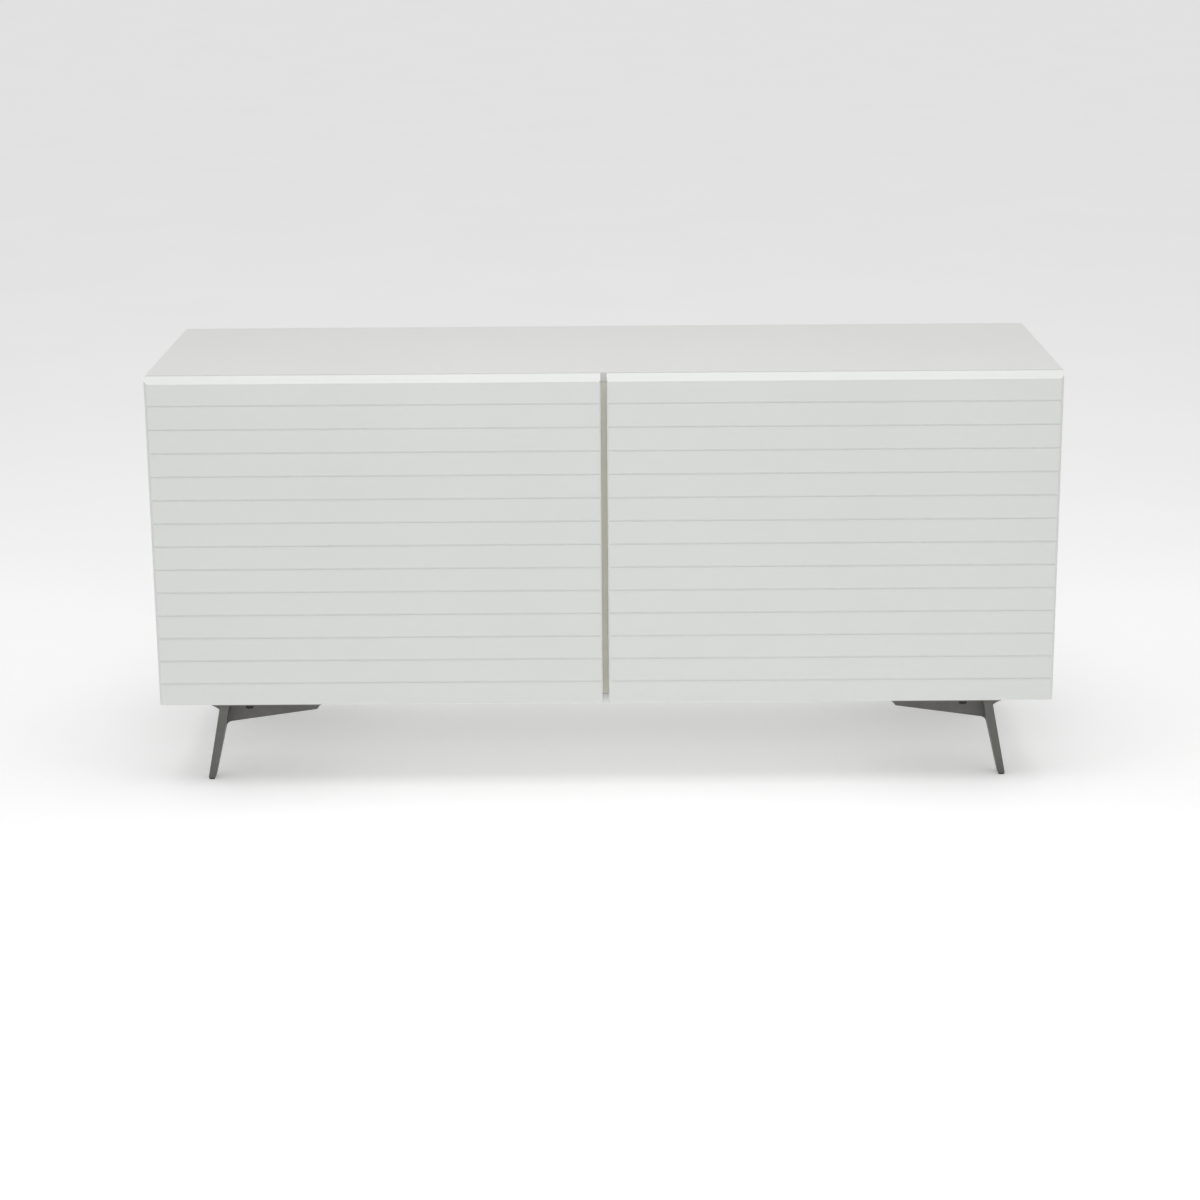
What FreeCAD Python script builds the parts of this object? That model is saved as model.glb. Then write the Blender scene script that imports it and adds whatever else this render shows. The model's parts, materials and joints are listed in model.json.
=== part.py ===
"""TV stand with two grooved doors on four splayed cast legs.

Frame: millimetres, +Z up, the doors face -Y, and the origin is on the floor under the middle
of the cabinet.  The left half is modelled, and the right half is its mirror image.
"""

import FreeCAD, Part
import math
import os
import Sketcher

doc = FreeCAD.newDocument("tv_stand")
Vector = FreeCAD.Vector

# ------------------------------------------------------------------ driving dimensions

SIZES = {
    "cabinet_width": 1500.0,
    "cabinet_depth": 480.0,
    "cabinet_height": 705.0,
    "leg_height": 140.0,
    "board_thickness": 16.0,
    "partition_setback": 1.5,
    "back_thickness": 5.0,
    "back_inset": 12.0,
    "back_groove": 6.0,
    "door_thickness": 18.0,
    "door_gap": 2.0,
    "centre_gap": 10.0,
    "door_drop": 0.4,
    "door_rise": 6.0,
    "bevel_size": 11.5,
    "side_bevel": 5.0,
    "lower_bevel": 1.5,
    "meeting_bevel": 2.5,
    "back_bevel": 1.5,
    "groove_count": 13.0,
    "groove_pitch": 39.4,
    "first_groove": 48.6,
    "groove_width": 4.6,
    "groove_depth": 2.05,
    "groove_lip": 0.8,
    "shelf_depth": 400.0,
    "shelf_setback": 30.0,
    "shelf_clearance": 1.0,
    "shelf_level": 258.5,
    "pin_radius": 2.5,
    "pin_sunk": 7.0,
    "pin_proud": 9.0,
    "pin_inset": 50.0,
    "pin_step": 32.0,
    "cam_radius": 7.5,
    "cam_depth": 12.5,
    "cam_distance": 34.0,
    "cam_inset": 60.0,
    "bolt_radius": 3.5,
    "bolt_sunk": 10.0,
    "dowel_radius": 4.0,
    "dowel_length": 30.0,
    "dowel_sunk": 10.0,
    "dowel_inset": 110.0,
    "outlet_hole": 30.0,
    "outlet_flange": 34.0,
    "outlet_bore": 25.0,
    "outlet_rim": 2.5,
    "outlet_length": 9.0,
    "outlet_level": 90.0,
    "socket_share": 0.45,
    "socket_floor": 0.4,
    "leg_screw_near": 146.0,
    "leg_screw_far": 255.0,
    "leg_screw_near_front": 37.0,
    "leg_screw_far_front": 60.0,
    "leg_screw_rear": 84.0,
    "leg_screw_radius": 2.25,
    "leg_screw_length": 16.0,
    "leg_screw_head_radius": 6.5,
    "leg_screw_head_height": 5.0,
    "cup_screw_radius": 1.75,
    "cup_screw_length": 11.0,
    "cup_screw_head_radius": 3.5,
    "cup_screw_head_height": 2.0,
    "cup_screw_edge": 31.0,
    "cup_screw_rise": 24.0,
    "plate_screw_radius": 2.5,
    "plate_screw_length": 13.0,
    "plate_screw_head_radius": 4.5,
    "plate_screw_head_height": 2.5,
    "plate_screw_depth": 37.0,
    "plate_screw_rise": 17.5,
    "arm_screw_radius": 2.0,
    "arm_screw_length": 7.0,
    "arm_screw_head_radius": 3.5,
    "arm_screw_head_height": 2.0,
    "arm_screw_front": 32.0,
    "arm_screw_rear": 50.0,
    "cam_slot_length": 10.0,
    "cam_slot_width": 1.5,
    "cam_slot_depth": 2.0,
    "bumper_radius": 4.0,
    "bumper_height": 1.7,
    "bumper_side": 32.0,
    "hinge_inset": 95.0,
    "cup_edge": 21.5,
    "cup_radius": 17.5,
    "cup_depth": 12.0,
    "cup_wall": 0.8,
    "flange_thickness": 1.2,
    "flange_height": 60.0,
    "flange_width": 16.0,
    "flange_edge": 23.0,
    "pivot_edge": 6.5,
    "pivot_depth": 8.0,
    "nose_reach": 17.0,
    "nose_angle": 7.5,
    "nose_radius": 2.8,
    "link_reach": 5.0,
    "link_angle": 57.5,
    "link_half_height": 3.0,
    "link_half_width": 1.0,
    "link_boss": 2.3,
    "link_bulge": 4.2,
    "link_slot": 2.7,
    "link_slot_radius": 1.65,
    "arm_pin_radius": 1.25,
    "arm_pin_bore": 1.3,
    "cup_pin_radius": 0.9,
    "cup_pin_length": 22.6,
    "cheek_inner": 3.3,
    "cheek_thickness": 2.0,
    "arm_length": 62.0,
    "bridge_start": 10.0,
    "bridge_thickness": 1.5,
    "plate_base": 2.0,
    "plate_offset": 28.0,
    "plate_width": 18.0,
    "plate_height": 50.0,
    "rail_start": 22.0,
    "rail_length": 38.0,
    "leg_side": 96.0,
    "leg_front": 34.0,
    "leg_width": 15.5,
    "leg_depth": 48.0,
    "foot_side": 69.5,
    "foot_front": 43.0,
    "foot_width": 11.5,
    "foot_depth": 28.0,
    "leg_round": 2.0,
    "glide_thickness": 3.0,
    "glide_margin": 1.0,
    "glide_round": 2.0,
    "leg_plate_thickness": 5.0,
    "leg_plate_side": 80.0,
    "leg_plate_length": 190.0,
    "leg_plate_front": 28.0,
    "leg_plate_depth": 66.0,
    "leg_plate_round": 8.0,
    "leg_root_round": 3.0,
    "web_front": 70.0,
    "web_thickness": 6.0,
    "web_end": 264.0,
    "web_tail": 256.0,
    "web_root": 105.0,
    "web_root_low": 97.0,
    "web_root_level": 94.0,
    "web_tail_level": 116.0,
    "web_end_level": 126.0,
    "web_round": 12.0,
    "gusset_side": 81.0,
    "gusset_root": 98.0,
    "gusset_level": 124.0,
    "gusset_front": 38.0,
    "gusset_thickness": 40.0,
}

sheet = doc.addObject("Spreadsheet::Sheet", "Sizes")
for row, (alias, value) in enumerate(SIZES.items(), start=1):
    sheet.set("A%d" % row, alias)
    sheet.set("B%d" % row, str(value))
    sheet.setAlias("B%d" % row, alias)
doc.recompute()

# Places that many pieces share, as expressions on the sheet.
SIDE = "(-Sizes.cabinet_width / 2)"
FRONT = "(-Sizes.cabinet_depth / 2)"
REAR = "(Sizes.cabinet_depth / 2)"
DOOR_BACK = "(-Sizes.cabinet_depth / 2 + Sizes.door_thickness)"
BOX_FRONT = "(-Sizes.cabinet_depth / 2 + Sizes.door_thickness + Sizes.door_gap)"
BOX_DEPTH = "(Sizes.cabinet_depth - Sizes.door_thickness - Sizes.door_gap)"
BOARD = "Sizes.board_thickness"
UNDER = "Sizes.leg_height"
FLOOR = "(Sizes.leg_height + Sizes.board_thickness)"
CEILING = "(Sizes.cabinet_height - Sizes.board_thickness)"
CLEAR_HEIGHT = "(Sizes.cabinet_height - Sizes.leg_height - 2 * Sizes.board_thickness)"
DOOR_TOP = "(Sizes.cabinet_height - Sizes.door_drop)"
DOOR_BOTTOM = "(Sizes.leg_height + Sizes.door_rise)"
SIDE_INNER = "(-Sizes.cabinet_width / 2 + Sizes.board_thickness)"
PARTITION_FACE = "(-Sizes.board_thickness / 2)"

# Rotations that turn a cylinder's own +Z axis.
ALONG = {
    "+Z": FreeCAD.Rotation(),
    "-Z": FreeCAD.Rotation(Vector(1, 0, 0), 180),
    "+X": FreeCAD.Rotation(Vector(0, 1, 0), 90),
    "-X": FreeCAD.Rotation(Vector(0, 1, 0), -90),
    "+Y": FreeCAD.Rotation(Vector(1, 0, 0), -90),
    "-Y": FreeCAD.Rotation(Vector(1, 0, 0), 90),
}

# How near two places are when they count as one, and how far inside a face an edge counts as within it.
TOUCHING = 0.01
EDGE_MARGIN = 1.0

SUBPARTS = []


# ------------------------------------------------------------------ small building blocks

def size(alias):
    """The number in one cell of the sheet."""
    return float(sheet.get(alias))


def keep(item, node):
    """Names a finished sub-part."""
    item.Label = node
    SUBPARTS.append(item)
    return item


def place(item, x, y, z):
    """Puts an object's base point at three expressions."""
    for axis, expression in zip("xyz", (x, y, z)):
        item.setExpression("Placement.Base." + axis, expression)
    return item


def block(name, corner, length, width, height):
    """A box with its lowest corner at the given place."""
    item = doc.addObject("Part::Box", name)
    item.setExpression("Length", length)
    item.setExpression("Width", width)
    item.setExpression("Height", height)
    return place(item, *corner)


def rod(name, start, along, radius, length):
    """A cylinder that starts at a place and runs along one axis."""
    item = doc.addObject("Part::Cylinder", name)
    item.Placement = FreeCAD.Placement(Vector(), ALONG[along])
    item.setExpression("Radius", radius)
    item.setExpression("Height", length)
    return place(item, *start)


def group(name, items):
    """Separate solids kept together."""
    item = doc.addObject("Part::Compound", name)
    item.Links = items
    return item


def joined(name, items):
    """Solids fused into one."""
    item = doc.addObject("Part::MultiFuse", name)
    item.Shapes = items
    item.Refine = True
    return item


def without(name, base, tools):
    """A base with other solids taken away."""
    item = doc.addObject("Part::Cut", name)
    item.Base = base
    item.Tool = tools[0] if len(tools) == 1 else group(name + "_tools", tools)
    return item


def mirrored(source, name, normal=Vector(1, 0, 0)):
    """The same piece on the other side of the cabinet."""
    item = doc.addObject("Part::Mirroring", name)
    item.Source = source
    item.Normal = normal
    item.Base = Vector()
    return item


def both_sides(left, node):
    """One node that holds a left group and its mirror image."""
    return keep(group(node, [left, mirrored(left, node + "_mirror")]), node)


def plane_of(body, role):
    """One of a body's own origin planes."""
    return next(feature for feature in body.Origin.OriginFeatures if feature.Role == role)


def attached_sketch(body, name, role, offset):
    """An empty sketch on a plane at an offset from one of the body's origin planes."""
    sketch = body.newObject("Sketcher::SketchObject", name)
    sketch.AttachmentSupport = (plane_of(body, role), [""])
    sketch.MapMode = "FlatFace"
    sketch.setExpression("AttachmentOffset.Base.z", offset)
    return sketch


def outline(body, name, role, offset, corners):
    """A closed polygon whose corners are expressions on the sheet; it starts as a regular one."""
    sketch = attached_sketch(body, name, role, offset)
    count = len(corners)
    turns = [2 * math.pi * i / count for i in range(count)]
    start = [Vector(math.cos(turn), math.sin(turn), 0) * size("cabinet_depth") for turn in turns]
    for i in range(count):
        sketch.addGeometry(Part.LineSegment(start[i], start[(i + 1) % count]))
    for i in range(count):
        sketch.addConstraint(Sketcher.Constraint("Coincident", i, 2, (i + 1) % count, 1))
    for i, (across, up) in enumerate(corners):
        for kind, place_now, expression in (
            ("DistanceX", start[i].x, across),
            ("DistanceY", start[i].y, up),
        ):
            number = sketch.addConstraint(Sketcher.Constraint(kind, -1, 1, i, 1, place_now))
            sketch.setExpression("Constraints[%d]" % number, expression)
    return sketch


def rectangle(body, name, role, offset, low, high):
    """A rectangle from its lowest to its highest corner."""
    corners = [(low[0], low[1]), (high[0], low[1]), (high[0], high[1]), (low[0], high[1])]
    return outline(body, name, role, offset, corners)


def pad(body, name, sketch, length, reverse=False):
    """A sketch pushed out to a length."""
    item = body.newObject("PartDesign::Pad", name)
    item.Profile = sketch
    item.setExpression("Length", length)
    item.Reversed = reverse
    return item


def is_upright(edge):
    return abs(edge.tangentAt(edge.FirstParameter).z) > 0.99


def edges_where(shape, wanted):
    """Names of the edges whose middle point passes a test."""
    names = []
    for number, edge in enumerate(shape.Edges, start=1):
        middle = edge.valueAt((edge.FirstParameter + edge.LastParameter) / 2)
        if wanted(middle, edge):
            names.append("Edge%d" % number)
    return names


def dress(body, kind, name, base, wanted, property_name, expression):
    """A fillet or a chamfer on the chosen edges of one feature."""
    doc.recompute()
    item = body.newObject("PartDesign::" + kind, name)
    item.Base = (base, edges_where(base.Shape, wanted))
    item.setExpression(property_name, expression)
    return item


def screw(name, start, along, kind, holes):
    """A round-headed screw with a hexagonal socket; start is the seat under its head.

    The kind names its four sizes in the sheet, and the shank is added to the list of holes.
    """
    sign, axis = along
    opposite_sign = "-" if sign == "+" else "+"
    opposite = opposite_sign + axis
    head_radius, head_height = ("Sizes.%s_head_%s" % (kind, part) for part in ("radius", "height"))
    shank = rod(name + "_shank", start, along, "Sizes.%s_radius" % kind, "Sizes.%s_length" % kind)
    head = rod(name + "_head", start, opposite, head_radius, head_height)
    socket = doc.addObject("Part::Prism", name + "_socket")
    socket.Polygon = 6
    socket.Placement = FreeCAD.Placement(Vector(), ALONG[opposite])
    socket.setExpression("Circumradius", "Sizes.socket_share * " + head_radius)
    socket.setExpression("Height", head_height)
    bottom = list(start)
    number = "XYZ".index(axis)
    bottom[number] = "%s %s Sizes.socket_floor * %s" % (start[number], opposite_sign, head_height)
    place(socket, *bottom)
    holes.append(shank)
    return without(name, joined(name + "_solid", [shank, head]), [socket])


# ------------------------------------------------------------------ carcass fasteners

def joint_fasteners(prefix, x, cam_start, cam_along):
    """Cam locks, their bolts and dowels that join one upright board to the top and bottom."""
    cams, bolts, dowels = [], [], []
    for end, level, up in (("lower", FLOOR, 1), ("upper", CEILING, -1)):
        sign = "+" if up > 0 else "-"
        away = "-" if up > 0 else "+"
        along = "+Z" if up > 0 else "-Z"
        for row, near in (("front", True), ("rear", False)):
            name = "%s_%s_%s" % (prefix, end, row)
            edge, inward = (BOX_FRONT, "+") if near else (REAR, "-")
            y_cam = "%s %s Sizes.cam_inset" % (edge, inward)
            y_dowel = "%s %s Sizes.dowel_inset" % (edge, inward)
            z_cam = "%s %s Sizes.cam_distance" % (level, sign)
            z_bolt = "%s %s Sizes.bolt_sunk" % (level, away)
            z_dowel = "%s %s Sizes.dowel_sunk" % (level, away)
            bolt_length = "Sizes.bolt_sunk + Sizes.cam_distance - Sizes.cam_radius"
            cams.append(rod(name + "_cam", (cam_start, y_cam, z_cam), cam_along,
                            "Sizes.cam_radius", "Sizes.cam_depth"))
            bolts.append(rod(name + "_bolt", (x, y_cam, z_bolt), along,
                             "Sizes.bolt_radius", bolt_length))
            dowels.append(rod(name + "_dowel", (x, y_dowel, z_dowel), along,
                              "Sizes.dowel_radius", "Sizes.dowel_length"))
    return cams, bolts, dowels


def cam_with_slot(cam, number):
    """A cam lock with the screwdriver slot in its face."""
    x, y, z = (cam.Name + ".Placement.Base." + axis for axis in "xyz")
    slot = block(
        "cam_slot_%d" % number,
        (x + " - Sizes.cam_slot_depth * 1 mm",
         y + " - Sizes.cam_slot_length / 2 * 1 mm",
         z + " - Sizes.cam_slot_width / 2 * 1 mm"),
        "2 * Sizes.cam_slot_depth", "Sizes.cam_slot_length", "Sizes.cam_slot_width")
    return without("cam_lock_%d" % number, cam, [slot])


side_cams, side_bolts, side_dowels = joint_fasteners(
    "side", SIDE + " + Sizes.board_thickness / 2", SIDE_INNER, "-X")
mid_cams, mid_bolts, mid_dowels = joint_fasteners(
    "partition", "0", PARTITION_FACE, "+X")

# ------------------------------------------------------------------ leg

def leg_x(inset):
    """A place across the left leg, counted from the cabinet's side."""
    return "%s + Sizes.%s" % (SIDE, inset)


def make_leg():
    """Front left leg: a splayed tapered blade, a web, a gusset and a screw plate in one casting."""
    body = doc.addObject("PartDesign::Body", "leg_casting")
    under_plate = "(Sizes.leg_height - Sizes.leg_plate_thickness)"
    top_section = rectangle(
        body, "leg_top_section", "XY_Plane", under_plate,
        (leg_x("leg_side"), FRONT + " + Sizes.leg_front"),
        (leg_x("leg_side") + " + Sizes.leg_width", FRONT + " + Sizes.leg_front + Sizes.leg_depth"))
    foot_section = rectangle(
        body, "leg_foot_section", "XY_Plane", "Sizes.glide_thickness",
        (leg_x("foot_side"), FRONT + " + Sizes.foot_front"),
        (leg_x("foot_side") + " + Sizes.foot_width",
         FRONT + " + Sizes.foot_front + Sizes.foot_depth"))
    blade = body.newObject("PartDesign::AdditiveLoft", "leg_blade")
    blade.Profile = top_section
    blade.Sections = [foot_section]
    blade.Ruled = True
    under = size("leg_height") - size("leg_plate_thickness")
    low, high = size("glide_thickness") + EDGE_MARGIN, under - EDGE_MARGIN
    dress(body, "Fillet", "leg_rounding", blade,
          lambda middle, edge: low < middle.z < high, "Radius", "Sizes.leg_round")
    plate = pad(body, "leg_plate", rectangle(
        body, "leg_plate_outline", "XY_Plane", under_plate,
        (leg_x("leg_plate_side"), FRONT + " + Sizes.leg_plate_front"),
        (leg_x("leg_plate_side") + " + Sizes.leg_plate_length",
         FRONT + " + Sizes.leg_plate_front + Sizes.leg_plate_depth")), "Sizes.leg_plate_thickness")
    side = -size("cabinet_width") / 2 + size("leg_plate_side")
    front = -size("cabinet_depth") / 2 + size("leg_plate_front")
    corners_x = (side, side + size("leg_plate_length"))
    corners_y = (front, front + size("leg_plate_depth"))

    def at_plate_corner(middle, edge):
        near_x = min(abs(middle.x - x) for x in corners_x) < TOUCHING
        near_y = min(abs(middle.y - y) for y in corners_y) < TOUCHING
        return is_upright(edge) and near_x and near_y

    plate_rounding = dress(body, "Fillet", "leg_plate_rounding", plate, at_plate_corner,
                           "Radius", "Sizes.leg_plate_round")

    def at_blade_root(middle, edge):
        inside_x = corners_x[0] + EDGE_MARGIN < middle.x < corners_x[1] - EDGE_MARGIN
        inside_y = corners_y[0] + EDGE_MARGIN < middle.y < corners_y[1] - EDGE_MARGIN
        return abs(middle.z - under) < TOUCHING and inside_x and inside_y

    dress(body, "Fillet", "leg_root_rounding", plate_rounding, at_blade_root,
          "Radius", "Sizes.leg_root_round")
    web = pad(body, "leg_web", outline(
        body, "leg_web_outline", "XZ_Plane", "-(%s + Sizes.web_front)" % FRONT,
        [(leg_x("web_root"), under_plate),
         (leg_x("web_end"), under_plate),
         (leg_x("web_end"), "Sizes.web_end_level"),
         (leg_x("web_tail"), "Sizes.web_tail_level"),
         (leg_x("web_root_low"), "Sizes.web_root_level")]), "Sizes.web_thickness", reverse=True)
    doc.recompute()
    root = Vector(-size("cabinet_width") / 2 + size("web_root_low"),
                  -size("cabinet_depth") / 2 + size("web_front") + size("web_thickness") / 2,
                  size("web_root_level"))
    crossing_reach = 2 * size("web_thickness")

    def at_web_root(middle, edge):
        beside = abs(middle.y - root.y) < EDGE_MARGIN and abs(middle.z - root.z) < size("web_thickness")
        return beside and abs(middle.x - root.x) < crossing_reach and edge.Length < crossing_reach

    dress(body, "Fillet", "leg_web_rounding", web, at_web_root, "Radius", "Sizes.web_round")
    pad(body, "leg_gusset", outline(
        body, "leg_gusset_outline", "XZ_Plane", "-(%s + Sizes.gusset_front)" % FRONT,
        [(leg_x("gusset_side"), under_plate),
         (leg_x("gusset_root"), under_plate),
         (leg_x("gusset_root"), "Sizes.gusset_level")]), "Sizes.gusset_thickness", reverse=True)
    doc.recompute()
    return body


def leg_screws():
    """Four screws that hold the front left leg's plate under the cabinet."""
    screws, shanks = [], []
    corners = (("near", "near_front"), ("far", "far_front"), ("far", "rear"), ("near", "rear"))
    for x_name, y_name in corners:
        start = ("%s + Sizes.leg_screw_%s" % (SIDE, x_name),
                 "%s + Sizes.leg_screw_%s" % (FRONT, y_name),
                 "Sizes.leg_height - Sizes.leg_plate_thickness")
        name = "leg_screw_%s_%s" % (x_name, y_name)
        screws.append(screw(name, start, "+Z", "leg_screw", shanks))
    return screws, shanks


leg_screw_set, leg_screw_shanks = leg_screws()
front_left_leg = without("front_left_leg_drilled", make_leg(), leg_screw_shanks)
front_right_leg = mirrored(front_left_leg, "front_right_leg_copy")
rear_left_leg = mirrored(front_left_leg, "rear_left_leg_copy", Vector(0, 1, 0))
rear_right_leg = mirrored(front_right_leg, "rear_right_leg_copy", Vector(0, 1, 0))
keep(front_left_leg, "front_left_leg")
keep(front_right_leg, "front_right_leg")
keep(rear_left_leg, "rear_left_leg")
keep(rear_right_leg, "rear_right_leg")

glide = block(
    "front_left_glide_block",
    (leg_x("foot_side") + " + Sizes.glide_margin", FRONT + " + Sizes.foot_front + Sizes.glide_margin", "0"),
    "Sizes.foot_width - 2 * Sizes.glide_margin", "Sizes.foot_depth - 2 * Sizes.glide_margin",
    "Sizes.glide_thickness")
glide_rounded = doc.addObject("Part::Fillet", "front_left_glide_rounded")
glide_rounded.Base = glide
doc.recompute()
upright_edges = [
    number for number, edge in enumerate(glide.Shape.Edges, start=1) if is_upright(edge)
]
glide_rounded.Edges = [(number, size("glide_round"), size("glide_round")) for number in upright_edges]
keep(glide_rounded, "front_left_glide")
front_right_glide = keep(mirrored(glide_rounded, "front_right_glide_copy"), "front_right_glide")
keep(mirrored(glide_rounded, "rear_left_glide_copy", Vector(0, 1, 0)), "rear_left_glide")
keep(mirrored(front_right_glide, "rear_right_glide_copy", Vector(0, 1, 0)), "rear_right_glide")

front_left_screws = group("front_left_leg_screws", leg_screw_set)
rear_left_screws = mirrored(front_left_screws, "rear_left_leg_screws", Vector(0, 1, 0))
both_sides(group("left_leg_screws", [front_left_screws, rear_left_screws]), "leg_screws")
leg_holes = group("front_left_leg_holes", leg_screw_shanks)
rear_holes = mirrored(leg_holes, "rear_left_leg_holes", Vector(0, 1, 0))
left_leg_holes = group("left_leg_holes", [leg_holes, rear_holes])
right_leg_holes = mirrored(left_leg_holes, "right_leg_holes")

# ------------------------------------------------------------------ hinges

def from_edge(expression):
    """A place across the left door, counted from the cabinet's side."""
    return "%s + %s" % (SIDE, expression)


def behind_door(expression):
    """A place behind the door's back face."""
    return "%s + %s" % (DOOR_BACK, expression)


NOSE_X = from_edge("Sizes.pivot_edge + Sizes.nose_reach * cos(Sizes.nose_angle * 1 deg)")
NOSE_Y = behind_door("(Sizes.nose_reach * sin(Sizes.nose_angle * 1 deg) - Sizes.pivot_depth)")
PIN_X = from_edge("Sizes.pivot_edge + Sizes.link_reach * cos(Sizes.link_angle * 1 deg)")
PIN_Y = behind_door("(Sizes.link_reach * sin(Sizes.link_angle * 1 deg) - Sizes.pivot_depth)")
HINGE_LEVELS = {
    "upper": "(%s - Sizes.hinge_inset)" % DOOR_TOP,
    "lower": "(%s + Sizes.hinge_inset)" % DOOR_BOTTOM,
}


def make_cup(which, level, drilled):
    """The cup that is pressed into the door, with its screw flange."""
    centre = (from_edge("Sizes.cup_edge"), DOOR_BACK, level)
    shell = rod("cup_shell_" + which, centre, "-Y", "Sizes.cup_radius", "Sizes.cup_depth")
    hollow_start = (centre[0], behind_door("Sizes.flange_thickness"), level)
    hollow = rod("cup_hollow_" + which, hollow_start, "-Y", "Sizes.cup_radius - Sizes.cup_wall",
                 "Sizes.cup_depth - Sizes.cup_wall + Sizes.flange_thickness")
    flange = block("cup_flange_" + which,
                   (from_edge("Sizes.flange_edge"), DOOR_BACK, level + " - Sizes.flange_height / 2"),
                   "Sizes.flange_width", "Sizes.flange_thickness", "Sizes.flange_height")
    pin = rod("cup_pin_" + which, (PIN_X, PIN_Y, level + " - Sizes.cup_pin_length / 2"), "+Z",
              "Sizes.cup_pin_radius", "Sizes.cup_pin_length")
    screws, shanks = [], []
    for name, sign in (("high", "+"), ("low", "-")):
        start = (from_edge("Sizes.cup_screw_edge"), behind_door("Sizes.flange_thickness"),
                 "%s %s Sizes.cup_screw_rise" % (level, sign))
        screws.append(screw("cup_screw_%s_%s" % (which, name), start, "-Y", "cup_screw", shanks))
    cup = without("cup_" + which, joined("cup_body_" + which, [shell, flange]), [hollow, pin] + shanks)
    drilled.append(shell)
    drilled.extend(shanks)
    return cup, pin, screws


def make_arm(which, level):
    """The arm on the side panel, its pin, its mounting plate and their screws."""
    cheeks = []
    for name, low in (("high", "Sizes.cheek_inner"),
                      ("low", "-(Sizes.cheek_inner + Sizes.cheek_thickness)")):
        z_low = "%s + %s" % (level, low)
        cheeks.append(block(
            "arm_cheek_%s_%s" % (which, name), (NOSE_X + " - Sizes.nose_radius", NOSE_Y, z_low),
            "2 * Sizes.nose_radius", "Sizes.arm_length", "Sizes.cheek_thickness"))
        cheeks.append(rod("arm_nose_%s_%s" % (which, name), (NOSE_X, NOSE_Y, z_low), "+Z",
                          "Sizes.nose_radius", "Sizes.cheek_thickness"))
    half = "(Sizes.cheek_inner + Sizes.cheek_thickness)"
    bridge_x = NOSE_X + " + Sizes.nose_radius - Sizes.bridge_thickness"
    bridge = block("arm_bridge_" + which,
                   (bridge_x, NOSE_Y + " + Sizes.bridge_start", "%s - %s" % (level, half)),
                   "Sizes.bridge_thickness", "Sizes.arm_length - Sizes.bridge_start", "2 * " + half)
    pin = rod("arm_pin_" + which, (NOSE_X, NOSE_Y, "%s - %s" % (level, half)), "+Z",
              "Sizes.arm_pin_radius", "2 * " + half)
    base = block("plate_base_" + which,
                 (SIDE_INNER, behind_door("Sizes.plate_offset"), level + " - Sizes.plate_height / 2"),
                 "Sizes.plate_base", "Sizes.plate_width", "Sizes.plate_height")
    rail = block("plate_rail_" + which,
                 (SIDE_INNER, behind_door("Sizes.rail_start"), level + " - Sizes.link_half_height"),
                 "(%s) - (%s)" % (bridge_x, SIDE_INNER), "Sizes.rail_length", "2 * Sizes.link_half_height")
    plate_screws, plate_shanks, arm_screws, arm_shanks = [], [], [], []
    for name, sign in (("high", "+"), ("low", "-")):
        start = (SIDE_INNER + " + Sizes.plate_base", behind_door("Sizes.plate_screw_depth"),
                 "%s %s Sizes.plate_screw_rise" % (level, sign))
        plate_screws.append(screw("plate_screw_%s_%s" % (which, name), start, "-X", "plate_screw",
                                  plate_shanks))
    for name in ("front", "rear"):
        start = (bridge_x + " + Sizes.bridge_thickness", behind_door("Sizes.arm_screw_" + name), level)
        arm_screws.append(screw("arm_screw_%s_%s" % (which, name), start, "-X", "arm_screw", arm_shanks))
    arm = without("arm_" + which, joined("arm_body_" + which, cheeks + [bridge]), [pin] + arm_shanks)
    plate = without("plate_" + which, joined("plate_body_" + which, [base, rail]),
                    plate_shanks + arm_shanks)
    return arm, pin, plate, plate_screws, plate_shanks, arm_screws


def link_shape():
    """The curved link from the arm's pin to the slot on the cup's pin, standing on the floor."""
    side, back = -size("cabinet_width") / 2, -size("cabinet_depth") / 2 + size("door_thickness")
    lean, turn = math.radians(size("nose_angle")), math.radians(size("link_angle"))
    axis = Vector(side + size("pivot_edge"), back - size("pivot_depth"), 0)
    nose = axis + Vector(math.cos(lean), math.sin(lean), 0) * size("nose_reach")
    tip = axis + Vector(math.cos(turn), math.sin(turn), 0) * size("link_reach")
    chord = tip - nose
    half_chord = chord.Length / 2
    towards_nose = (nose - tip).normalize()
    into_door = Vector(0, 0, 1).cross(chord).normalize()
    bulge = size("link_bulge")
    radius = (half_chord ** 2 + bulge ** 2) / (2 * bulge)
    centre = (nose + tip) * 0.5 - into_door * (radius - bulge)
    height = 2 * size("link_half_height")
    half_width = size("link_half_width")

    def disc(where, disc_radius):
        return Part.makeCylinder(disc_radius, height, where)

    ring = disc(centre, radius + half_width).cut(disc(centre, radius - half_width))
    reach = 2 * radius
    corner = nose - chord.normalize() * reach
    run = chord.normalize() * (2 * half_chord + 2 * reach)
    depth = into_door * reach * 2
    window = Part.Face(Part.makePolygon(
        [corner, corner + run, corner + run + depth, corner + depth, corner]))
    curve = ring.common(window.extrude(Vector(0, 0, height)))
    slot_end = tip + towards_nose * size("link_slot")
    across = Vector(-towards_nose.y, towards_nose.x, 0)

    def bar(half):
        face = Part.Face(Part.makePolygon([
            tip + across * half, slot_end + across * half, slot_end - across * half,
            tip - across * half, tip + across * half]))
        return face.extrude(Vector(0, 0, height))

    boss, slot_radius = size("link_boss"), size("link_slot_radius")
    solid = curve.fuse([disc(nose, boss), disc(tip, boss), disc(slot_end, boss), bar(boss)])
    solid = solid.cut(disc(nose, size("arm_pin_bore")))
    solid = solid.cut([disc(tip, slot_radius), disc(slot_end, slot_radius), bar(slot_radius)])
    return solid.removeSplitter()


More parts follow.
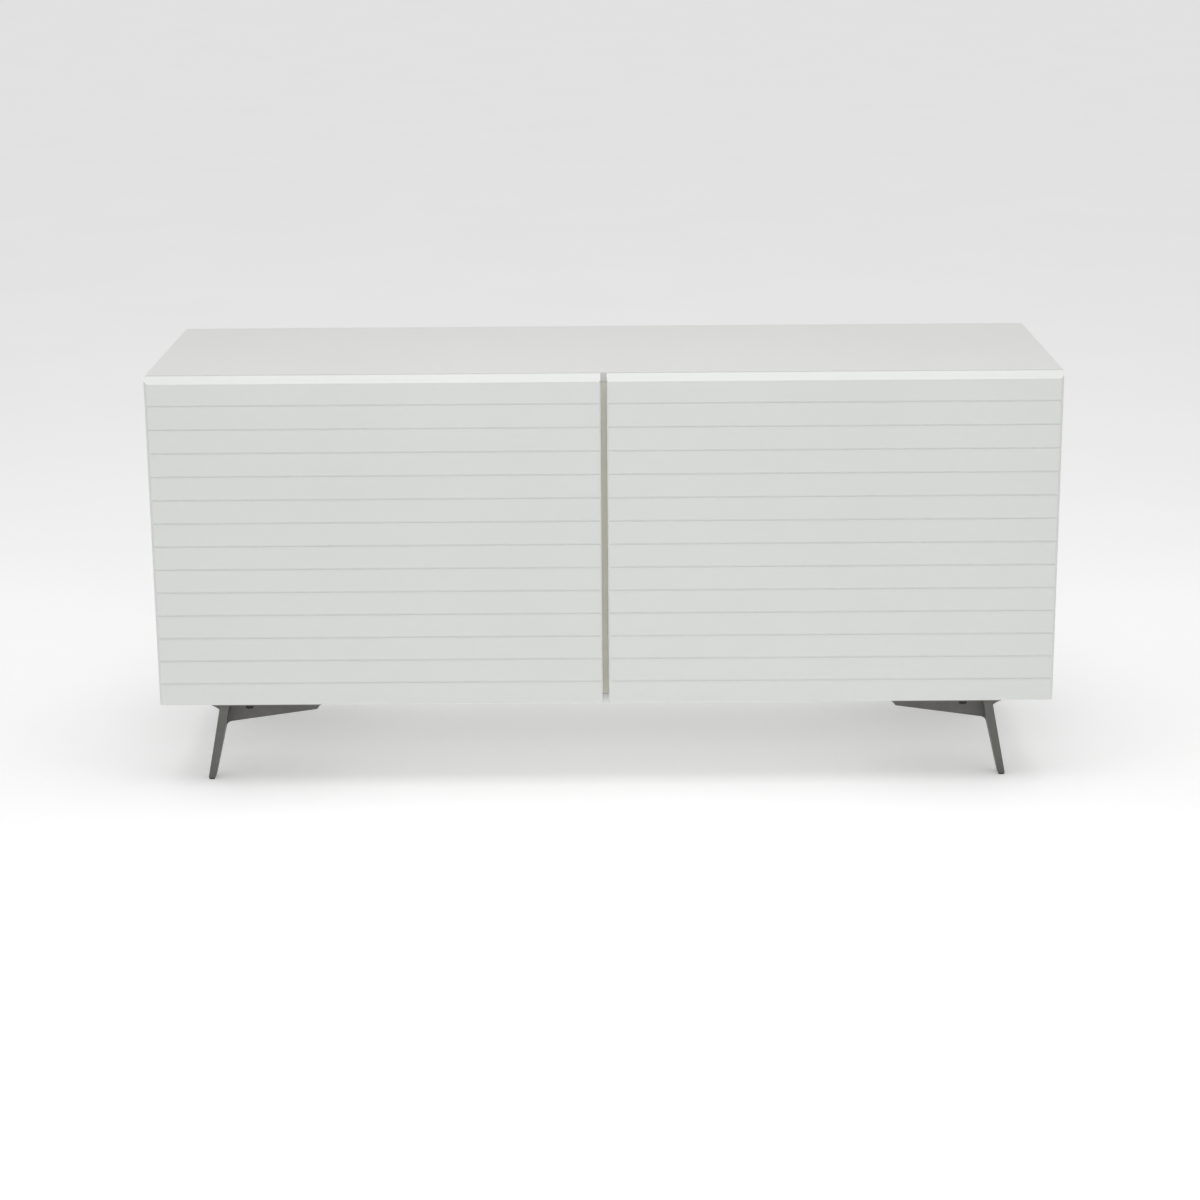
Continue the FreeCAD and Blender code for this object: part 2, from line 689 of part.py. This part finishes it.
door_drillings, panel_drillings = [], []
cup_pins, arm_pins, cup_screws, plate_screws, arm_screws = [], [], [], [], []
for which, level in HINGE_LEVELS.items():
    cup, cup_pin, new_cup_screws = make_cup(which, level, door_drillings)
    arm, arm_pin, plate, new_plate_screws, plate_shanks, new_arm_screws = make_arm(which, level)
    link = doc.addObject("Part::Feature", "link_" + which)
    link.Shape = link_shape()
    link.setExpression("Placement.Base.z", level + " - Sizes.link_half_height")
    for piece, kind in ((cup, "cup"), (arm, "arm"), (plate, "plate"), (link, "link")):
        keep(piece, "left_%s_hinge_%s" % (which, kind))
        keep(mirrored(piece, "right_%s_%s_copy" % (which, kind)), "right_%s_hinge_%s" % (which, kind))
    cup_pins.append(cup_pin)
    arm_pins.append(arm_pin)
    cup_screws.extend(new_cup_screws)
    plate_screws.extend(new_plate_screws)
    arm_screws.extend(new_arm_screws)
    panel_drillings.extend(plate_shanks)

left_cup_pins = keep(group("left_cup_pin_set", cup_pins), "left_hinge_cup_pins")
keep(mirrored(left_cup_pins, "right_cup_pin_set"), "right_hinge_cup_pins")
left_cup_screws = keep(group("left_cup_screw_set", cup_screws), "left_hinge_cup_screws")
keep(mirrored(left_cup_screws, "right_cup_screw_set"), "right_hinge_cup_screws")
both_sides(group("left_arm_pin_set", arm_pins), "hinge_arm_pins")
both_sides(group("left_plate_screw_set", plate_screws), "hinge_plate_screws")
both_sides(group("left_arm_screw_set", arm_screws), "hinge_arm_screws")

# ------------------------------------------------------------------ doors

def make_door():
    """Left door: a bevelled slab with level V grooves across its whole front."""
    body = doc.addObject("PartDesign::Body", "left_door_slab")
    body.setExpression("Placement.Base.y", DOOR_BACK)
    slab = pad(body, "door_slab", rectangle(
        body, "door_outline", "XZ_Plane", "0", (SIDE, DOOR_BOTTOM),
        ("-Sizes.centre_gap / 2", DOOR_TOP)), "Sizes.door_thickness")
    side, gap = -size("cabinet_width") / 2, -size("centre_gap") / 2
    top, bottom = size("cabinet_height") - size("door_drop"), size("leg_height") + size("door_rise")
    front = -size("door_thickness")

    def edge_at(x=None, y=None, z=None):
        def wanted(middle, edge):
            return all(want is None or abs(have - want) < TOUCHING
                       for have, want in ((middle.x, x), (middle.y, y), (middle.z, z)))
        return wanted

    upper = dress(body, "Chamfer", "door_bevel", slab, edge_at(y=front, z=top), "Size", "Sizes.bevel_size")
    outer = dress(body, "Chamfer", "door_side_bevel", upper, edge_at(x=side, y=front),
                  "Size", "Sizes.side_bevel")
    lower = dress(body, "Chamfer", "door_lower_bevel", outer, edge_at(y=front, z=bottom),
                  "Size", "Sizes.lower_bevel")
    meeting = dress(body, "Chamfer", "door_meeting_bevel", lower, edge_at(x=gap, y=front),
                    "Size", "Sizes.meeting_bevel")
    dress(body, "Chamfer", "door_back_bevel", meeting, edge_at(x=side, y=0.0),
          "Size", "Sizes.back_bevel")
    doc.recompute()
    first = "(%s - Sizes.first_groove)" % DOOR_TOP
    face = "-Sizes.door_thickness"
    groove_sketch = outline(body, "groove_section", "YZ_Plane", "0", [
        (face, first + " + Sizes.groove_width / 2"),
        (face, first + " - Sizes.groove_width / 2"),
        (face + " + Sizes.groove_depth", first + " + Sizes.groove_width / 2 - Sizes.groove_lip")])
    groove = body.newObject("PartDesign::Pocket", "groove")
    groove.Profile = groove_sketch
    groove.Type = "ThroughAll"
    groove.Midplane = True
    doc.recompute()
    rows = body.newObject("PartDesign::LinearPattern", "groove_rows")
    rows.Originals = [groove]
    rows.Direction = (groove_sketch, ["V_Axis"])
    rows.Reversed = True
    rows.setExpression("Occurrences", "Sizes.groove_count")
    rows.setExpression("Length", "Sizes.groove_pitch * (Sizes.groove_count - 1)")
    body.Tip = rows
    doc.recompute()
    return body


left_door = keep(without("left_door_drilled", make_door(), door_drillings), "left_door")
keep(mirrored(left_door, "right_door_copy"), "right_door")

# ------------------------------------------------------------------ carcass boards

PIN_ROWS = (("front", BOX_FRONT + " + Sizes.shelf_setback + Sizes.pin_inset"),
            ("rear", BOX_FRONT + " + Sizes.shelf_setback + Sizes.shelf_depth - Sizes.pin_inset"))
SHELF_LEVEL = "(%s + Sizes.shelf_level)" % FLOOR


def shelf_pins():
    """Shelf pins of the left bay, and the spare holes above and below them."""
    pins, side_holes, partition_holes = [], [], []
    length = "Sizes.pin_sunk + Sizes.pin_proud"
    for row, y in PIN_ROWS:
        for wall, x, along, holes in (
            ("side", SIDE_INNER + " - Sizes.pin_sunk", "+X", side_holes),
            ("partition", PARTITION_FACE + " + Sizes.pin_sunk", "-X", partition_holes),
        ):
            for step in (-1, 0, 1):
                z = "%s - Sizes.pin_radius + %d * Sizes.pin_step" % (SHELF_LEVEL, step)
                name = "shelf_%s_%s_%s" % (row, wall, ("low", "used", "high")[step + 1])
                used = step == 0
                peg = rod(name, (x, y, z), along, "Sizes.pin_radius",
                          length if used else "Sizes.pin_sunk")
                holes.append(peg)
                if used:
                    pins.append(peg)
    return pins, side_holes, partition_holes


left_pins, side_pin_holes, partition_pin_holes = shelf_pins()
left_shelf_pins = keep(group("left_pin_set", left_pins), "left_shelf_pins")
keep(mirrored(left_shelf_pins, "right_pin_set"), "right_shelf_pins")

left_shelf = keep(block(
    "left_shelf_board",
    (SIDE_INNER + " + Sizes.shelf_clearance", BOX_FRONT + " + Sizes.shelf_setback", SHELF_LEVEL),
    "(%s) - (%s) - 2 * Sizes.shelf_clearance" % (PARTITION_FACE, SIDE_INNER),
    "Sizes.shelf_depth", BOARD), "left_shelf")
keep(mirrored(left_shelf, "right_shelf_board"), "right_shelf")

# The back panels sit in grooves of the boards around them.
BACK_Y = REAR + " - Sizes.back_inset - Sizes.back_thickness"
back_board = block(
    "left_back_board",
    (SIDE_INNER + " - Sizes.back_groove", BACK_Y, FLOOR + " - Sizes.back_groove"),
    "(%s) - (%s) + 2 * Sizes.back_groove" % (PARTITION_FACE, SIDE_INNER),
    "Sizes.back_thickness", CLEAR_HEIGHT + " + 2 * Sizes.back_groove")
right_back_board = mirrored(back_board, "right_back_board")
OUTLET_X = "((%s) + (%s)) / 2" % (PARTITION_FACE, SIDE_INNER)
OUTLET_Z = FLOOR + " + Sizes.outlet_level"
outlet_hole = rod("outlet_hole", (OUTLET_X, BACK_Y, OUTLET_Z), "+Y", "Sizes.outlet_hole",
                  "Sizes.back_thickness")
left_back = keep(without("left_back_cut", back_board, [outlet_hole]), "left_back_panel")
keep(mirrored(left_back, "right_back_cut"), "right_back_panel")

outlet_neck = rod("outlet_neck", (OUTLET_X, BACK_Y, OUTLET_Z), "+Y", "Sizes.outlet_hole",
                  "Sizes.outlet_length - Sizes.outlet_rim")
outlet_rim = rod("outlet_rim_disc", (OUTLET_X, BACK_Y, OUTLET_Z), "-Y", "Sizes.outlet_flange",
                 "Sizes.outlet_rim")
outlet_bore = rod("outlet_bore", (OUTLET_X, BACK_Y + " - Sizes.outlet_rim", OUTLET_Z), "+Y",
                  "Sizes.outlet_bore", "Sizes.outlet_length")
left_outlet = keep(without("left_outlet_ring", joined("outlet_solid", [outlet_neck, outlet_rim]),
                           [outlet_bore]), "left_cable_grommet")
keep(mirrored(left_outlet, "right_outlet_ring"), "right_cable_grommet")

fixed_left = side_bolts + side_dowels
left_rods = group("left_joint_rods", fixed_left)
right_rods = mirrored(left_rods, "right_joint_rods")
middle_rods = mid_bolts + mid_dowels

top_board = block("top_board", (SIDE, BOX_FRONT, CEILING), "Sizes.cabinet_width", BOX_DEPTH, BOARD)
keep(without("top_cut", top_board, [back_board, right_back_board, left_rods, right_rods] + middle_rods),
     "top_panel")
bottom_board = block("bottom_board", (SIDE, BOX_FRONT, UNDER), "Sizes.cabinet_width", BOX_DEPTH, BOARD)
keep(without("bottom_cut", bottom_board,
             [back_board, right_back_board, left_rods, right_rods, left_leg_holes, right_leg_holes]
             + middle_rods), "bottom_panel")
side_board = block("side_board", (SIDE, BOX_FRONT, FLOOR), BOARD, BOX_DEPTH, CLEAR_HEIGHT)
left_side = keep(without("left_side_cut", side_board,
                         [back_board] + side_cams + fixed_left + side_pin_holes + panel_drillings),
                 "left_side_panel")
keep(mirrored(left_side, "right_side_cut"), "right_side_panel")
partition_board = block(
    "partition_board", (PARTITION_FACE, BOX_FRONT + " + Sizes.partition_setback", FLOOR),
    BOARD, BOX_DEPTH + " - Sizes.partition_setback", CLEAR_HEIGHT)
left_pin_drillings = group("left_partition_holes", partition_pin_holes)
keep(without("partition_cut", partition_board,
             [back_board, right_back_board, left_pin_drillings,
              mirrored(left_pin_drillings, "right_partition_holes")] + mid_cams + middle_rods),
     "centre_partition")

side_cam_set = group("left_cam_set", [cam_with_slot(cam, i) for i, cam in enumerate(side_cams)])
mid_cam_set = [cam_with_slot(cam, i + len(side_cams)) for i, cam in enumerate(mid_cams)]
right_cam_set = mirrored(side_cam_set, "right_cam_set")
keep(group("cam_locks", [side_cam_set, right_cam_set] + mid_cam_set), "cam_locks")
left_bolt_set = group("left_bolt_set", side_bolts)
right_bolt_set = mirrored(left_bolt_set, "right_bolt_set")
keep(group("cam_bolts", [left_bolt_set, right_bolt_set] + mid_bolts), "cam_bolts")
left_dowel_set = group("left_dowel_set", side_dowels)
keep(group("wood_dowels", [left_dowel_set, mirrored(left_dowel_set, "right_dowel_set")] + mid_dowels),
     "wood_dowels")

bumpers = [
    rod("bumper_" + name, ("-Sizes.bumper_side", BOX_FRONT, z), "-Y",
        "Sizes.bumper_radius", "Sizes.bumper_height")
    for name, z in (("upper", CEILING + " + Sizes.board_thickness / 2"),
                    ("lower", UNDER + " + Sizes.board_thickness / 2"))
]
both_sides(group("left_bumpers", bumpers), "door_bumpers")

# ------------------------------------------------------------------ checks and files

doc.recompute()
for item in doc.Objects:
    if "Invalid" in item.State or "Error" in item.State:
        raise RuntimeError("failed object: %s %s" % (item.Name, item.State))
for item in SUBPARTS:
    if item.Shape.isNull() or not item.Shape.isValid() or not item.Shape.Solids:
        raise RuntimeError("bad shape: " + item.Label)

os.makedirs("parts", exist_ok=True)
for item in SUBPARTS:
    item.Shape.exportStep("parts/%s.step" % item.Label)
    print("%-26s %2d solids %12.1f mm3" % (item.Label, len(item.Shape.Solids), item.Shape.Volume))
print(len(SUBPARTS), "sub-parts")
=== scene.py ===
"""TV stand with two grooved doors on four splayed cast legs: the looks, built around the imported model.

Metres, +Z up, the doors face -Y, and the floor is at z = 0.
"""

import json
import math

import bmesh
import bpy
from mathutils import Matrix, Vector


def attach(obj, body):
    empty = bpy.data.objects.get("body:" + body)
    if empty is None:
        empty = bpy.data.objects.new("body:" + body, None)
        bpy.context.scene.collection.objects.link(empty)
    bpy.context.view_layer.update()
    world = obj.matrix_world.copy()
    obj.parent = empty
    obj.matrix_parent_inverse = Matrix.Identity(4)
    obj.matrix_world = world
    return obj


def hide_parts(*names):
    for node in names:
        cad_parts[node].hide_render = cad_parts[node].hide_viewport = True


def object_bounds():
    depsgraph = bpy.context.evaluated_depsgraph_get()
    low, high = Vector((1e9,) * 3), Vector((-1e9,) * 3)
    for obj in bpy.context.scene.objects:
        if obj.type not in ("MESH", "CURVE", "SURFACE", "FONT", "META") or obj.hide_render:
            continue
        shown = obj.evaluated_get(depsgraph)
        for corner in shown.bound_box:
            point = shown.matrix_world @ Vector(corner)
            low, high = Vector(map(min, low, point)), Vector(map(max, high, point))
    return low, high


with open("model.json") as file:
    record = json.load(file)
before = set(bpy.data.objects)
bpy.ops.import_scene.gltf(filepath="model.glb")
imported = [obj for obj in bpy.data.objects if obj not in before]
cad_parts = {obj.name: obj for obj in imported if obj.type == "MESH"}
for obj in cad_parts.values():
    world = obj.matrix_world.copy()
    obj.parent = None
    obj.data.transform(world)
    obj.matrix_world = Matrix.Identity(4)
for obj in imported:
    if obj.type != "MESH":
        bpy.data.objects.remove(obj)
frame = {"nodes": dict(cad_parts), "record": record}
cad_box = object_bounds()

NODES = frame["nodes"]
SLOT_OF = {part["node"]: part["material_slot"] for part in frame["record"]["subparts"]}
BODY_OF = {
    node: body
    for body, members in frame["record"]["behaviour"]["bodies"].items()
    for node in members
}
MM = 0.001


# ------------------------------------------------------------------ node helpers

class Finish:
    """One material and the short calls that build its node tree."""

    def __init__(self, name):
        self.material = bpy.data.materials.new(name)
        self.material.use_nodes = True
        self.tree = self.material.node_tree
        self.shader = self.tree.nodes["Principled BSDF"]
        self.place = self.add("ShaderNodeTexCoord").outputs["Object"]

    def add(self, kind, **settings):
        node = self.tree.nodes.new(kind)
        for key, value in settings.items():
            setattr(node, key, value)
        return node

    def link(self, source, target):
        self.tree.links.new(source, target)

    def set(self, **values):
        """Uniform numbers and colours, set on the shader's own sockets."""
        for key, value in values.items():
            self.shader.inputs[key.replace("_", " ")].default_value = value

    def noise(self, size, detail=2.0, stretch=(1, 1, 1)):
        """Noise whose blotches are about this many metres across."""
        mapping = self.add("ShaderNodeMapping")
        mapping.inputs["Scale"].default_value = [s / size for s in stretch]
        self.link(self.place, mapping.inputs["Vector"])
        noise = self.add("ShaderNodeTexNoise")
        noise.inputs["Scale"].default_value = 1.0
        noise.inputs["Detail"].default_value = detail
        self.link(mapping.outputs["Vector"], noise.inputs["Vector"])
        return noise.outputs["Fac"]

    def spread(self, source, low, high, start=0.3, end=0.7):
        """Maps a source from start..end to low..high."""
        node = self.add("ShaderNodeMapRange")
        for key, value in (("From Min", start), ("From Max", end), ("To Min", low), ("To Max", high)):
            node.inputs[key].default_value = value
        self.link(source, node.inputs["Value"])
        return node.outputs["Result"]

    def mix(self, factor, first, second):
        """A colour between two others; each is a colour or a socket."""
        node = self.add("ShaderNodeMix", data_type="RGBA")
        for socket, value in ((0, factor), (6, first), (7, second)):
            if hasattr(value, "node"):
                self.link(value, node.inputs[socket])
            else:
                node.inputs[socket].default_value = value
        return node.outputs[2]

    def bumps(self, *layers):
        """Height layers of (source, depth in metres), one on another."""
        normal = None
        for source, depth in layers:
            node = self.add("ShaderNodeBump")
            node.inputs["Strength"].default_value = 1.0
            node.inputs["Distance"].default_value = depth
            self.link(source, node.inputs["Height"])
            if normal is not None:
                self.link(normal, node.inputs["Normal"])
            normal = node.outputs["Normal"]
        self.link(normal, self.shader.inputs["Normal"])


def grey(value, warmth=0.0, coolness=0.0):
    """A near-neutral colour; warmth takes some blue away and coolness some red."""
    return (value * (1 - coolness), value * (1 - 0.2 * warmth), value * (1 - warmth), 1.0)


# ------------------------------------------------------------------ finishes

def lacquer(name, value, warmth, coolness=0.0):
    """Sprayed satin lacquer: nearly even colour, faint clouding and a fine orange peel."""
    finish = Finish(name)
    cloud = finish.noise(0.35, 3.0)
    fleck = finish.noise(0.012, 2.0)
    base = finish.mix(finish.spread(cloud, 0.0, 1.0),
                      grey(value * 0.985, warmth, coolness), grey(value * 1.01, warmth * 0.8, coolness))
    colour = finish.mix(finish.spread(fleck, 0.0, 0.35), base, grey(value * 0.98, warmth, coolness))
    finish.link(colour, finish.shader.inputs["Base Color"])
    finish.link(finish.spread(finish.noise(0.02, 3.0), 0.36, 0.44), finish.shader.inputs["Roughness"])
    finish.bumps((finish.noise(0.0028, 1.0), 0.00003), (finish.noise(0.03, 2.0), 0.00008))
    finish.set(IOR=1.48)
    return finish.material


def cast_metal(name, value):
    """Powder-coated casting: satin, with a fine pebbled skin and a slightly uneven tone."""
    finish = Finish(name)
    cloud = finish.noise(0.04, 3.0)
    finish.link(finish.mix(finish.spread(cloud, 0.0, 1.0), grey(value * 0.92, 0.06), grey(value * 1.08, 0.1)),
                finish.shader.inputs["Base Color"])
    finish.link(finish.spread(finish.noise(0.003, 2.0), 0.42, 0.56), finish.shader.inputs["Roughness"])
    finish.bumps((finish.noise(0.0011, 2.0), 0.00006), (finish.noise(0.012, 2.0), 0.00012))
    finish.set(Metallic=0.35)
    return finish.material


def blackened(name, value):
    """Blackened steel: a dark dry skin with a faint sheen where it is rubbed."""
    finish = Finish(name)
    rub = finish.noise(0.004, 3.0)
    finish.link(finish.mix(finish.spread(rub, 0.0, 1.0), grey(value), grey(value * 1.8)),
                finish.shader.inputs["Base Color"])
    finish.link(finish.spread(rub, 0.7, 0.55), finish.shader.inputs["Roughness"])
    finish.bumps((finish.noise(0.0006, 1.0), 0.00001))
    finish.set(Metallic=0.2)
    return finish.material


def plated(name, value, warmth, streak=(1, 1, 1)):
    """Plated steel with fine rolling marks."""
    finish = Finish(name)
    marks = finish.noise(0.0016, 2.0, streak)
    finish.link(finish.mix(finish.spread(marks, 0.0, 1.0), grey(value * 0.93, warmth), grey(value, warmth)),
                finish.shader.inputs["Base Color"])
    finish.link(finish.spread(finish.noise(0.004, 3.0), 0.22, 0.36), finish.shader.inputs["Roughness"])
    finish.bumps((marks, 0.00001))
    finish.set(Metallic=1.0)
    return finish.material


def moulded(name, value, warmth, roughness):
    """Moulded plastic or rubber with a fine spark-eroded grain."""
    finish = Finish(name)
    cloud = finish.noise(0.02, 2.0)
    finish.link(finish.mix(finish.spread(cloud, 0.0, 1.0), grey(value * 0.95, warmth), grey(value, warmth)),
                finish.shader.inputs["Base Color"])
    finish.link(finish.spread(finish.noise(0.005, 2.0), roughness - 0.04, roughness + 0.04),
                finish.shader.inputs["Roughness"])
    finish.bumps((finish.noise(0.0008, 1.0), 0.00003))
    return finish.material


def beech(name):
    """Turned beech dowel: pale, with fine upright grain."""
    finish = Finish(name)
    grain = finish.noise(0.0012, 3.0, (1, 1, 0.08))
    finish.link(finish.mix(finish.spread(grain, 0.0, 1.0), (0.44, 0.27, 0.14, 1), (0.68, 0.49, 0.30, 1)),
                finish.shader.inputs["Base Color"])
    finish.link(finish.spread(grain, 0.5, 0.65), finish.shader.inputs["Roughness"])
    finish.bumps((grain, 0.00004))
    return finish.material


FINISHES = {
    "white_lacquer": lacquer("satin_white_lacquer", 0.84, 0.035, 0.025),
    "white_board": lacquer("satin_white_board", 0.84, 0.035, 0.012),
    "leg_metal": cast_metal("anthracite_casting", 0.15),
    "glide_plastic": moulded("black_glide", 0.03, 0.0, 0.5),
    "screw_steel": blackened("black_screw", 0.012),
    "hinge_steel": plated("nickel_plate", 0.62, 0.05, (1, 0.1, 1)),
    "pin_steel": plated("zinc_plate", 0.60, 0.0),
    "dowel_wood": beech("turned_beech"),
    "grommet_plastic": moulded("white_grommet", 0.72, 0.03, 0.42),
    "bumper_rubber": moulded("clear_bumper", 0.70, 0.02, 0.35),
}

for node, item in NODES.items():
    item.data.materials.clear()
    item.data.materials.append(FINISHES[SLOT_OF[node]])

# ------------------------------------------------------------------ rounded pieces

WELD = 0.002 * MM                     # points closer than this are one point
FLAT = math.radians(0.5)              # faces that turn less than this are one face
SHARP = math.radians(25)              # edges that turn more than this get rounded
CREASE = math.radians(35)             # edges that still turn more than this are shaded sharp
FACING = math.cos(math.radians(60))   # how squarely a face must look forward to take the edge band, whose paler colour is partly painted light
ARC_STEPS = 3                         # flats across a rounding


def rounded(node, radius, shortest=0.0, painted_light_front_edge=None):
    """Builds a node's shape again with its sharp edges rounded, and lets the piece stand for the node.

    Where a shortest length is given, shorter edges, such as those round a drilled hole, stay sharp.
    The faces that look along -Y can have a finish of their own. On the partition this is a cream edge band
    painted paler than the white lacquer, as painted light in the gap between the doors.
    """
    shape = bmesh.new()
    shape.from_mesh(NODES[node].data)
    bmesh.ops.remove_doubles(shape, verts=shape.verts, dist=WELD)
    bmesh.ops.dissolve_limit(shape, angle_limit=FLAT, verts=shape.verts, edges=shape.edges)
    sharp = [edge for edge in shape.edges
             if len(edge.link_faces) == 2 and edge.calc_face_angle() > SHARP and edge.calc_length() > shortest]
    bmesh.ops.bevel(shape, geom=sharp, offset=radius, segments=ARC_STEPS, profile=0.5,
                    affect="EDGES", clamp_overlap=shortest == 0)
    bmesh.ops.dissolve_degenerate(shape, dist=WELD, edges=shape.edges)
    shape.normal_update()
    for edge in shape.edges:
        edge.smooth = len(edge.link_faces) != 2 or edge.calc_face_angle() < CREASE
    for face in shape.faces:
        face.smooth = True
        face.material_index = 1 if painted_light_front_edge and face.normal.y < -FACING else 0
    mesh = bpy.data.meshes.new(node + "_rounded")
    shape.to_mesh(mesh)
    shape.free()
    for attribute in [a for a in mesh.attributes if a.name == "custom_normal"]:
        mesh.attributes.remove(attribute)
    mesh.materials.append(FINISHES[SLOT_OF[node]])
    if painted_light_front_edge:
        mesh.materials.append(painted_light_front_edge)
    piece = bpy.data.objects.new(node + "_rounded", mesh)
    bpy.context.scene.collection.objects.link(piece)
    weighted = piece.modifiers.new("weighted_normals", "WEIGHTED_NORMAL")
    weighted.keep_sharp = True
    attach(piece, BODY_OF[node])
    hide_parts(node)


# By the end of a node's name: the rounding's radius and the shortest edge that gets it, in millimetres.
EDGE_ROUNDINGS = {
    "_panel": (0.6, 3),
    "_shelf": (0.8, 3),
    "_door": (0.3, 60),
    "_leg": (0.9, 2),
    "_glide": (0.5, 0),
    "_hinge_cup": (0.25, 0),
    "_hinge_arm": (0.35, 0),
    "_hinge_plate": (0.35, 0),
    "_hinge_link": (0.2, 0),
    "_screws": (0.3, 0),
    "_pins": (0.25, 0),
    "_grommet": (0.7, 0),
    "_bumpers": (0.6, 0),
    "_locks": (0.3, 0),
    "_bolts": (0.4, 0),
    "_dowels": (0.8, 0),
}
for node in NODES:
    for ending, (radius, shortest) in EDGE_ROUNDINGS.items():
        if node.endswith(ending):
            rounded(node, radius * MM, shortest * MM)
# The partition's front edge gets a cream edge band. The cream tone is the band's own, but its lightness is
# painted light: it is made far paler than the white lacquer to stand in for light reaching into the narrow gap
# between the doors.
rounded("centre_partition", 0.5 * MM, 3 * MM, painted_light_front_edge=lacquer("cream_edge_band_painted_light", 0.97, 0.17))

# ------------------------------------------------------------------ studio

FLOOR_HALF = 40.0       # metres, so that the floor's edge is out of sight
FLOOR_GLOW = 0.20       # lifts the floor towards the photo's plain white
AIR_EVERYWHERE = 0.30   # strength of the light from all round
AIR_OVERHEAD = 0.76     # and what straight above adds to it
FRONT_POWER = 9         # watts
TOP_POWER = 30          # watts
SENSOR_WIDTH = 36.0     # millimetres


def studio_floor():
    """A wide pale floor, not part of the object."""
    mesh = bpy.data.meshes.new("studio_floor")
    corners = [(-FLOOR_HALF, -FLOOR_HALF, 0), (FLOOR_HALF, -FLOOR_HALF, 0),
               (FLOOR_HALF, FLOOR_HALF, 0), (-FLOOR_HALF, FLOOR_HALF, 0)]
    mesh.from_pydata(corners, [], [(0, 1, 2, 3)])
    finish = Finish("studio_paper")
    finish.link(finish.mix(finish.spread(finish.noise(0.6, 2.0), 0.0, 1.0), grey(0.92), grey(0.94)),
                finish.shader.inputs["Base Color"])
    finish.set(Roughness=0.9, Emission_Color=(1, 1, 1, 1), Emission_Strength=FLOOR_GLOW)
    mesh.materials.append(finish.material)
    floor = bpy.data.objects.new("studio_floor", mesh)
    bpy.context.scene.collection.objects.link(floor)


def soft_light(name, place, target, width, height, power):
    """A rectangular softbox that faces a target."""
    data = bpy.data.lights.new(name, "AREA")
    data.shape = "RECTANGLE"
    data.size = width
    data.size_y = height
    data.energy = power
    lamp = bpy.data.objects.new(name, data)
    lamp.location = place
    lamp.rotation_mode = "QUATERNION"
    lamp.rotation_quaternion = (Vector(target) - Vector(place)).to_track_quat("-Z", "Y")
    bpy.context.scene.collection.objects.link(lamp)


def studio_air(everywhere, overhead):
    """Soft white light from all round, and more of it from straight above."""
    world = bpy.data.worlds.new("studio_air")
    world.use_nodes = True
    tree = world.node_tree
    direction = tree.nodes.new("ShaderNodeTexCoord")
    upward = tree.nodes.new("ShaderNodeSeparateXYZ")
    tree.links.new(direction.outputs["Generated"], upward.inputs["Vector"])
    above = tree.nodes.new("ShaderNodeMath")
    above.operation = "MAXIMUM"
    above.inputs[1].default_value = 0.0
    tree.links.new(upward.outputs["Z"], above.inputs[0])
    cubed = tree.nodes.new("ShaderNodeMath")
    cubed.operation = "POWER"
    cubed.inputs[1].default_value = 3.0
    tree.links.new(above.outputs["Value"], cubed.inputs[0])
    total = tree.nodes.new("ShaderNodeMath")
    total.operation = "MULTIPLY_ADD"
    total.inputs[1].default_value = overhead
    total.inputs[2].default_value = everywhere
    tree.links.new(cubed.outputs["Value"], total.inputs[0])
    background = tree.nodes["Background"]
    background.inputs["Color"].default_value = (1, 1, 1, 1)
    tree.links.new(total.outputs["Value"], background.inputs["Strength"])
    bpy.context.scene.world = world


def photo_camera(place, pan, tilt, roll, lens):
    """A camera that looks along +Y, turned by a pan, a tilt and a roll in degrees."""
    data = bpy.data.cameras.new("camera")
    data.lens = lens
    data.sensor_width = SENSOR_WIDTH
    camera = bpy.data.objects.new("camera", data)
    turn = (Matrix.Rotation(math.radians(-pan), 4, "Z") @ Matrix.Rotation(math.radians(90 + tilt), 4, "X")
            @ Matrix.Rotation(math.radians(roll), 4, "Z"))
    camera.matrix_world = Matrix.Translation(place) @ turn
    bpy.context.scene.collection.objects.link(camera)
    bpy.context.scene.camera = camera


studio_floor()
studio_air(AIR_EVERYWHERE, AIR_OVERHEAD)
middle = (cad_box[0] + cad_box[1]) / 2
soft_light("front_softbox", middle + Vector((0.1, -3.2, 1.55)), middle, 0.8, 0.6, FRONT_POWER)
soft_light("top_softbox", middle + Vector((0, -0.6, 2.85)), middle, 3.0, 2.0, TOP_POWER)
photo_camera(Vector((0.012, -4.5945, 1.509)), -0.27, -15.21, -0.45, 81.42)
bpy.context.scene.view_settings.view_transform = "Standard"
